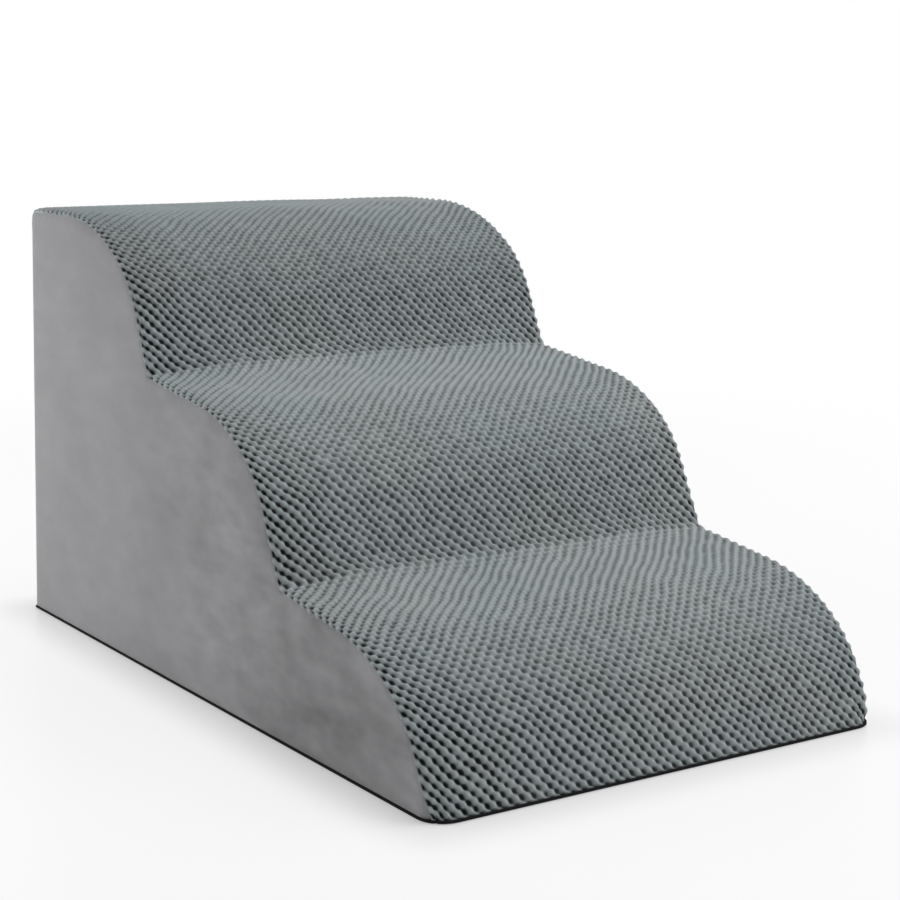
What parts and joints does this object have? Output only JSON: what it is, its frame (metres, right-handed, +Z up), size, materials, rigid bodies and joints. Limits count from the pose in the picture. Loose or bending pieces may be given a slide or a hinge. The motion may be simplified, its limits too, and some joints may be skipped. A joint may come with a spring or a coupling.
{
  "type": "pet stairs",
  "caption": "Foam pet stairs with rounded steps, a bobbled pile cloth over the treads, smooth cloth sides and a zip across the back.",
  "frame": {"origin": "on the floor, in the middle of the footprint", "axes": "+X to the right seen from the front, +Y to the back, +Z up"},
  "size_m": [0.4, 0.6917, 0.375],
  "materials": {
    "foam": "open-cell upholstery foam, matt",
    "pile_cloth": "grey bobbled plush pile with dark hollows",
    "velvet": "smooth grey short-nap velvet",
    "grip_cloth": "dark anti-slip cloth",
    "zip_tape": "woven polyester tape",
    "zip_teeth": "moulded acetal, satin",
    "zip_metal": "zinc alloy, satin grey enamel"
  },
  "bodies": {
    "stairs": {"core_lower_tier": "foam", "core_middle_tier": "foam", "core_upper_tier": "foam", "tread_cover": "pile_cloth", "side_panel_left": "velvet", "side_panel_right": "velvet", "back_panel": "velvet", "back_hem": "velvet", "base_panel": "grip_cloth", "zip_tape_upper": "zip_tape", "zip_tape_lower": "zip_tape", "zip_teeth_upper": "zip_teeth", "zip_teeth_lower": "zip_teeth", "zip_top_stops": "zip_teeth", "zip_bottom_stop": "zip_teeth"},
    "slider": {"zip_slider": "zip_metal"},
    "pull": {"zip_pull": "zip_metal"}
  },
  "joints": [
    {"name": "zip_slide", "type": "slide", "parent": "stairs", "child": "slider", "axis": [1, 0, 0], "range_m": [0, 0.335], "deforming": ["zip_teeth_upper", "zip_teeth_lower"]},
    {"name": "pull_swing", "type": "hinge", "parent": "slider", "child": "pull", "pos_m": [-0.171, 0.34428, 0.045], "axis": [0, 0, 1], "range_deg": [0, 180]}
  ]
}
